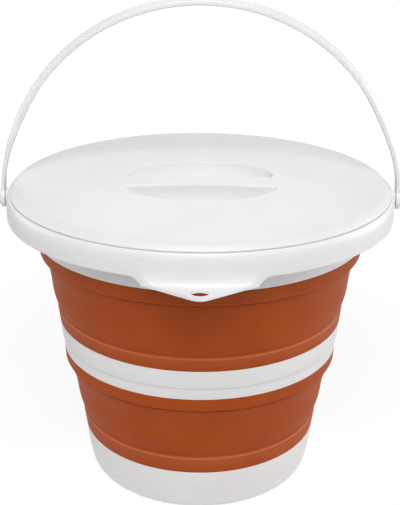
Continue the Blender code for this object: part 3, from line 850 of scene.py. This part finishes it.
# %% [markdown]
# ## Surroundings
#
# The bucket is lit as in a white tent: white all round, soft lamps above, at the sides, in front
# and behind, and a white floor that bounces light up under the rim. The floor looks white to the
# camera but keeps a soft shadow under the base, and it glows a little more further away, so that
# the picture is white up to its top.
#
# Light samples go to the lamps alone. The floor's glow and the surroundings are left out of them,
# because with them in the strap came out grainy.

# %% Floor
FLOOR_RADIUS = 9.0
FLOOR_STEPS = 96
FLOOR_Z = -0.0002
FLOOR_BOUNCE = (0.92, 0.92, 0.92, 1)
FLOOR_SHADE = (0.16, 0.16, 0.16, 1)
NEAR_GLOW, FAR_GLOW = (0.875, 0.875, 0.875), (0.985, 0.985, 0.985)
GLOW_RISES = (0.25, 1.1)
floor_mesh = bmesh.new()
bmesh.ops.create_circle(floor_mesh, cap_ends=True, segments=FLOOR_STEPS, radius=FLOOR_RADIUS)
bmesh.ops.translate(floor_mesh, verts=floor_mesh.verts, vec=(0, 0, FLOOR_Z))
floor = solid(floor_mesh, "floor")
paper = Finish("white_floor")
to_camera = paper.node("ShaderNodeLightPath", {}, {}, "Is Camera Ray")
away = paper.node("ShaderNodeVectorMath", {"operation": "LENGTH"}, {"Vector": paper.place}, "Value")
bounce = paper.node("ShaderNodeBsdfDiffuse", {}, {"Color": FLOOR_BOUNCE}, "BSDF")
shade = paper.node("ShaderNodeBsdfDiffuse", {}, {"Color": FLOOR_SHADE}, "BSDF")
glow_colour = paper.mixed(away.rise(*GLOW_RISES), NEAR_GLOW, FAR_GLOW)
glow = paper.node("ShaderNodeEmission", {}, {"Color": glow_colour, "Strength": 1.0}, "Emission")
seen = paper.node("ShaderNodeAddShader", {}, {0: shade, 1: glow}, 0)
choice = paper.node("ShaderNodeMixShader", {}, {0: to_camera, 1: bounce, 2: seen}, 0)
paper.feed(paper.tree.nodes["Material Output"].inputs["Surface"], choice)
paper.material.cycles.emission_sampling = "NONE"
floor.data.materials.append(paper.material)
print("floor:", FLOOR_RADIUS, "m in radius")

# %% White surroundings
AMBIENT = 0.02
MIRRORED = 1.2
SEEN = 1.0
world = bpy.data.worlds.new("white_tent")
world.use_nodes = True
bpy.context.scene.world = world
nodes, links = world.node_tree.nodes, world.node_tree.links
path = nodes.new("ShaderNodeLightPath")
background = nodes["Background"]
background.inputs["Color"].default_value = (1, 1, 1, 1)
strength = None
for ray, level in (("Is Glossy Ray", MIRRORED), ("Is Camera Ray", SEEN)):
    choose = nodes.new("ShaderNodeMapRange")
    choose.inputs["To Min"].default_value = AMBIENT
    choose.inputs["To Max"].default_value = level
    links.new(path.outputs[ray], choose.inputs["Value"])
    if strength:
        links.new(strength, choose.inputs["To Min"])
    strength = choose.outputs["Result"]
links.new(strength, background.inputs["Strength"])
world.cycles.sampling_method = "NONE"
print("surroundings:", len(nodes), "nodes")

# %% [markdown]
# Each lamp is a square soft light. The table gives its place and size in metres, its power in watts
# and the height on the bucket's axis that it points at.

# %% Lamps
LAMPS = [
    ("over", (0, 0, 2.0), 2.0, 2.0, 0.2),
    ("near_front", (0, -0.9, 1.15), 0.8, 9.9, 0.25),
    ("high_front", (0, -1.8, 2.2), 1.6, 20.8, 0.2),
    ("left", (-2.0, -0.4, 1.0), 1.3, 3.6, 0.2),
    ("right", (2.0, -0.4, 1.0), 1.3, 4.2, 0.2),
    ("behind", (0, 1.8, 1.8), 1.5, 9.9, 0.25),
    ("low_left", (-1.7, 0.5, 0.35), 0.7, 6.3, 0.15),
    ("low_right", (1.7, 0.5, 0.35), 0.7, 13.0, 0.15),
]
for name, place, size, power, aim in LAMPS:
    light = bpy.data.lights.new(name, "AREA")
    light.shape = "SQUARE"
    light.size = size
    light.energy = power
    lamp = bpy.data.objects.new(name, light)
    bpy.context.collection.objects.link(lamp)
    lamp.location = place
    lamp.rotation_euler = (Vector((0, 0, aim)) - Vector(place)).to_track_quat("-Z", "Y").to_euler()
print("lamps:", ", ".join(name for name, *_ in LAMPS))

# %% [markdown]
# ## Camera
#
# The camera stands in front, a little above the lid, and looks down. Its place and lens were worked
# out from the ellipses of the rim, the ring and the base in the picture.

# %% Camera
CAMERA_PLACE = (0, -0.799, 0.496)
CAMERA_TURNS = (68.89, -0.3, 0.127)
LENS = 92.25
SENSOR = 36
camera_data = bpy.data.cameras.new("camera")
camera_data.sensor_fit = "HORIZONTAL"
camera_data.sensor_width = SENSOR
camera_data.lens = LENS
camera = bpy.data.objects.new("camera", camera_data)
bpy.context.collection.objects.link(camera)
camera.location = CAMERA_PLACE
camera.rotation_euler = [math.radians(turn) for turn in CAMERA_TURNS]
scene = bpy.context.scene
scene.camera = camera
scene.view_settings.view_transform = "Standard"
print("camera:", CAMERA_PLACE, "lens", LENS)
